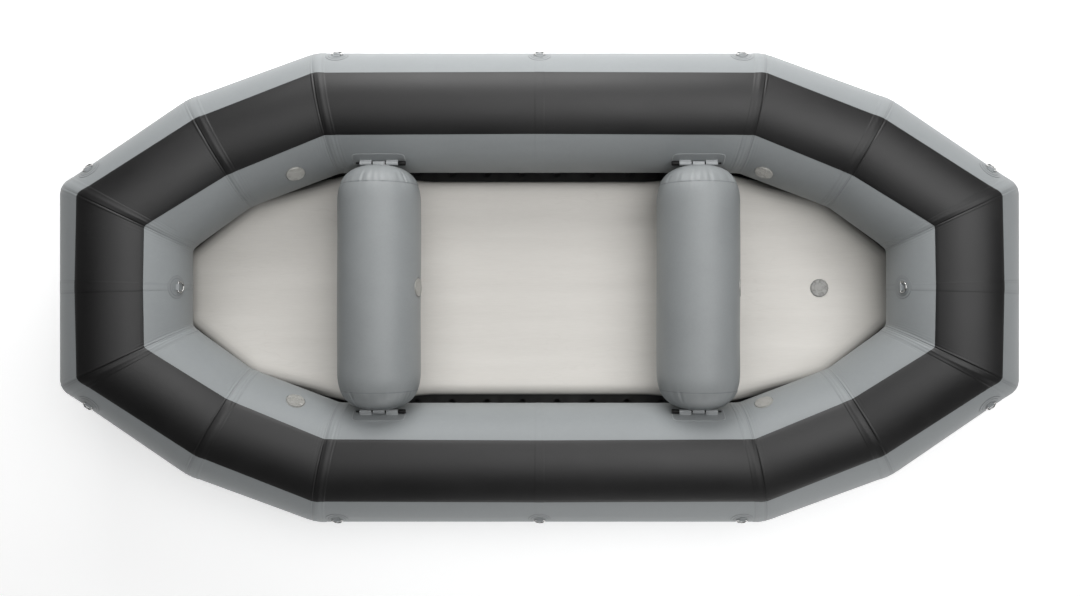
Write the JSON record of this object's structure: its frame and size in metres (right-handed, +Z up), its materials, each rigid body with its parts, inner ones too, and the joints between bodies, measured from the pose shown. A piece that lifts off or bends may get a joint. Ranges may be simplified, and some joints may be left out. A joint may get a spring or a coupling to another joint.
{
  "type": "whitewater raft",
  "caption": "Self-bailing inflatable river raft with mitred side tubes, raised ends, flat laced floor, hinged cross thwarts, lift valves and lashing rings.",
  "frame": {"origin": "under the middle of the hull, on the plane that it stands on", "axes": "+X forward to the bow, +Y to the port side, +Z up"},
  "size_m": [3.9634, 2.02, 0.6355],
  "materials": {
    "hull_fabric": "satin",
    "wear_strip": "satin",
    "floor_fabric": "matte",
    "flap_fabric": "matte",
    "hinge_polymer": "satin",
    "pin_black": "satin",
    "ring_steel": "polished",
    "valve_cap": "satin",
    "valve_inner": "satin",
    "valve_body": "satin"
  },
  "bodies": {
    "root": {"bail_flap_port": "flap_fabric", "bail_flap_starboard": "flap_fabric", "chamber_bow_port": "hull_fabric", "chamber_bow_starboard": "hull_fabric", "chamber_stern_port": "hull_fabric", "chamber_stern_starboard": "hull_fabric", "floor": "floor_fabric", "hinge_base_aft_port": "hinge_polymer", "hinge_base_aft_starboard": "hinge_polymer", "hinge_base_fore_port": "hinge_polymer", "hinge_base_fore_starboard": "hinge_polymer", "hinge_leaf_aft_port": "hinge_polymer", "hinge_leaf_aft_starboard": "hinge_polymer", "hinge_leaf_fore_port": "hinge_polymer", "hinge_leaf_fore_starboard": "hinge_polymer", "ring_patch_inside_bow": "hull_fabric", "ring_patch_inside_stern": "hull_fabric", "ring_patch_middle_port": "hull_fabric", "ring_patch_middle_starboard": "hull_fabric", "thwart_aft": "hull_fabric", "thwart_fore": "hull_fabric", "valve_body_bow_port": "valve_body", "valve_body_bow_starboard": "valve_body", "valve_body_floor": "valve_body", "valve_body_stern_port": "valve_body", "valve_body_stern_starboard": "valve_body", "valve_body_thwart_aft": "valve_body", "valve_body_thwart_fore": "valve_body", "wear_strip_port": "wear_strip", "wear_strip_starboard": "wear_strip"},
    "d_ring_bow_corner_port": {"d_ring_bow_corner_port": "ring_steel"},
    "d_ring_bow_corner_starboard": {"d_ring_bow_corner_starboard": "ring_steel"},
    "d_ring_bow_port": {"d_ring_bow_port": "ring_steel"},
    "d_ring_bow_starboard": {"d_ring_bow_starboard": "ring_steel"},
    "d_ring_inside_bow": {"d_ring_inside_bow": "ring_steel"},
    "d_ring_inside_stern": {"d_ring_inside_stern": "ring_steel"},
    "d_ring_middle_port": {"d_ring_middle_port": "ring_steel"},
    "d_ring_middle_starboard": {"d_ring_middle_starboard": "ring_steel"},
    "d_ring_stern_corner_port": {"d_ring_stern_corner_port": "ring_steel"},
    "d_ring_stern_corner_starboard": {"d_ring_stern_corner_starboard": "ring_steel"},
    "d_ring_stern_port": {"d_ring_stern_port": "ring_steel"},
    "d_ring_stern_starboard": {"d_ring_stern_starboard": "ring_steel"},
    "hinge_pin_aft_port": {"hinge_pin_aft_port": "pin_black"},
    "hinge_pin_aft_starboard": {"hinge_pin_aft_starboard": "pin_black"},
    "hinge_pin_fore_port": {"hinge_pin_fore_port": "pin_black"},
    "hinge_pin_fore_starboard": {"hinge_pin_fore_starboard": "pin_black"},
    "valve_cap_bow_port": {"valve_cap_bow_port": "valve_cap"},
    "valve_cap_bow_starboard": {"valve_cap_bow_starboard": "valve_cap"},
    "valve_cap_floor": {"valve_cap_floor": "valve_cap"},
    "valve_cap_stern_port": {"valve_cap_stern_port": "valve_cap"},
    "valve_cap_stern_starboard": {"valve_cap_stern_starboard": "valve_cap"},
    "valve_cap_thwart_aft": {"valve_cap_thwart_aft": "valve_cap"},
    "valve_cap_thwart_fore": {"valve_cap_thwart_fore": "valve_cap"},
    "valve_plunger_bow_port": {"valve_plunger_bow_port": "valve_inner"},
    "valve_plunger_bow_starboard": {"valve_plunger_bow_starboard": "valve_inner"},
    "valve_plunger_floor": {"valve_plunger_floor": "valve_inner"},
    "valve_plunger_stern_port": {"valve_plunger_stern_port": "valve_inner"},
    "valve_plunger_stern_starboard": {"valve_plunger_stern_starboard": "valve_inner"},
    "valve_plunger_thwart_aft": {"valve_plunger_thwart_aft": "valve_inner"},
    "valve_plunger_thwart_fore": {"valve_plunger_thwart_fore": "valve_inner"}
  },
  "joints": [
    {"name": "d_ring_bow_corner_port_swing", "type": "hinge", "parent": "root", "child": "d_ring_bow_corner_port", "pos_m": [1.8192, 0.47796, 0.53843], "axis": [0.7652, -0.6135, 0.1951], "range_deg": [0, 170]},
    {"name": "d_ring_bow_corner_starboard_swing", "type": "hinge", "parent": "root", "child": "d_ring_bow_corner_starboard", "pos_m": [1.8192, -0.47796, 0.53843], "axis": [-0.7652, -0.6135, -0.1951], "range_deg": [0, 170]},
    {"name": "d_ring_bow_port_swing", "type": "hinge", "parent": "root", "child": "d_ring_bow_port", "pos_m": [0.85, 0.97742, 0.38836], "axis": [1, 0, 0], "range_deg": [0, 170]},
    {"name": "d_ring_bow_starboard_swing", "type": "hinge", "parent": "root", "child": "d_ring_bow_starboard", "pos_m": [0.85, -0.97742, 0.38836], "axis": [-1, 0, 0], "range_deg": [0, 170]},
    {"name": "d_ring_inside_bow_swing", "type": "hinge", "parent": "root", "child": "d_ring_inside_bow", "pos_m": [1.48236, 0, 0.4694], "axis": [0, -1, 0], "range_deg": [0, 170]},
    {"name": "d_ring_inside_stern_swing", "type": "hinge", "parent": "root", "child": "d_ring_inside_stern", "pos_m": [-1.48236, 0, 0.4694], "axis": [0, -1, 0], "range_deg": [0, 170]},
    {"name": "d_ring_middle_port_swing", "type": "hinge", "parent": "root", "child": "d_ring_middle_port", "pos_m": [0, 0.97768, 0.38852], "axis": [1, 0, 0], "range_deg": [0, 170]},
    {"name": "d_ring_middle_starboard_swing", "type": "hinge", "parent": "root", "child": "d_ring_middle_starboard", "pos_m": [0, -0.97768, 0.38852], "axis": [-1, 0, 0], "range_deg": [0, 170]},
    {"name": "d_ring_stern_corner_port_swing", "type": "hinge", "parent": "root", "child": "d_ring_stern_corner_port", "pos_m": [-1.8192, 0.47796, 0.53843], "axis": [0.7652, 0.6135, -0.1951], "range_deg": [0, 170]},
    {"name": "d_ring_stern_corner_starboard_swing", "type": "hinge", "parent": "root", "child": "d_ring_stern_corner_starboard", "pos_m": [-1.8192, -0.47796, 0.53843], "axis": [-0.7652, 0.6135, 0.1951], "range_deg": [0, 170]},
    {"name": "d_ring_stern_port_swing", "type": "hinge", "parent": "root", "child": "d_ring_stern_port", "pos_m": [-0.85, 0.97742, 0.38836], "axis": [1, 0, 0], "range_deg": [0, 170]},
    {"name": "d_ring_stern_starboard_swing", "type": "hinge", "parent": "root", "child": "d_ring_stern_starboard", "pos_m": [-0.85, -0.97742, 0.38836], "axis": [-1, 0, 0], "range_deg": [0, 170]},
    {"name": "hinge_pin_aft_port_draw", "type": "slide", "parent": "root", "child": "hinge_pin_aft_port", "axis": [1, 0, 0], "range_m": [0, 0.1776]},
    {"name": "hinge_pin_aft_starboard_draw", "type": "slide", "parent": "root", "child": "hinge_pin_aft_starboard", "axis": [1, 0, 0], "range_m": [0, 0.1776]},
    {"name": "hinge_pin_fore_port_draw", "type": "slide", "parent": "root", "child": "hinge_pin_fore_port", "axis": [-1, 0, 0], "range_m": [0, 0.1776]},
    {"name": "hinge_pin_fore_starboard_draw", "type": "slide", "parent": "root", "child": "hinge_pin_fore_starboard", "axis": [-1, 0, 0], "range_m": [0, 0.1776]},
    {"name": "valve_cap_bow_port_turn", "type": "hinge", "parent": "root", "child": "valve_cap_bow_port", "pos_m": [0.95211, 0.48985, 0.34615], "axis": [-0.372, -0.8633, 0.3409], "range_deg": [0, 90]},
    {"name": "valve_cap_bow_starboard_turn", "type": "hinge", "parent": "root", "child": "valve_cap_bow_starboard", "pos_m": [0.95211, -0.48985, 0.34615], "axis": [-0.372, 0.8633, 0.3409], "range_deg": [0, 90]},
    {"name": "valve_cap_floor_turn", "type": "hinge", "parent": "root", "child": "valve_cap_floor", "pos_m": [1.25, 0, 0.1385], "axis": [0, 0, 1], "range_deg": [0, 90]},
    {"name": "valve_cap_stern_port_turn", "type": "hinge", "parent": "root", "child": "valve_cap_stern_port", "pos_m": [-1.02398, 0.4788, 0.38758], "axis": [0.3588, -0.7986, 0.4832], "range_deg": [0, 90]},
    {"name": "valve_cap_stern_starboard_turn", "type": "hinge", "parent": "root", "child": "valve_cap_stern_starboard", "pos_m": [-1.02398, -0.4788, 0.38758], "axis": [0.3588, 0.7986, 0.4832], "range_deg": [0, 90]},
    {"name": "valve_cap_thwart_aft_turn", "type": "hinge", "parent": "root", "child": "valve_cap_thwart_aft", "pos_m": [-0.51113, 0, 0.40483], "axis": [0.9781, 0, 0.2079], "range_deg": [0, 90]},
    {"name": "valve_cap_thwart_fore_turn", "type": "hinge", "parent": "root", "child": "valve_cap_thwart_fore", "pos_m": [0.83187, 0, 0.40483], "axis": [0.9781, 0, 0.2079], "range_deg": [0, 90]},
    {"name": "valve_plunger_bow_port_press", "type": "slide", "parent": "root", "child": "valve_plunger_bow_port", "axis": [0.372, 0.8633, -0.3409], "range_m": [0, 0.006], "stiffness_N_per_m": 150, "springref_m": -0.004},
    {"name": "valve_plunger_bow_starboard_press", "type": "slide", "parent": "root", "child": "valve_plunger_bow_starboard", "axis": [0.372, -0.8633, -0.3409], "range_m": [0, 0.006], "stiffness_N_per_m": 150, "springref_m": -0.004},
    {"name": "valve_plunger_floor_press", "type": "slide", "parent": "root", "child": "valve_plunger_floor", "axis": [0, 0, -1], "range_m": [0, 0.006], "stiffness_N_per_m": 150, "springref_m": -0.004},
    {"name": "valve_plunger_stern_port_press", "type": "slide", "parent": "root", "child": "valve_plunger_stern_port", "axis": [-0.3588, 0.7986, -0.4832], "range_m": [0, 0.006], "stiffness_N_per_m": 150, "springref_m": -0.004},
    {"name": "valve_plunger_stern_starboard_press", "type": "slide", "parent": "root", "child": "valve_plunger_stern_starboard", "axis": [-0.3588, -0.7986, -0.4832], "range_m": [0, 0.006], "stiffness_N_per_m": 150, "springref_m": -0.004},
    {"name": "valve_plunger_thwart_aft_press", "type": "slide", "parent": "root", "child": "valve_plunger_thwart_aft", "axis": [-0.9781, 0, -0.2079], "range_m": [0, 0.006], "stiffness_N_per_m": 150, "springref_m": -0.004},
    {"name": "valve_plunger_thwart_fore_press", "type": "slide", "parent": "root", "child": "valve_plunger_thwart_fore", "axis": [-0.9781, 0, -0.2079], "range_m": [0, 0.006], "stiffness_N_per_m": 150, "springref_m": -0.004}
  ]
}
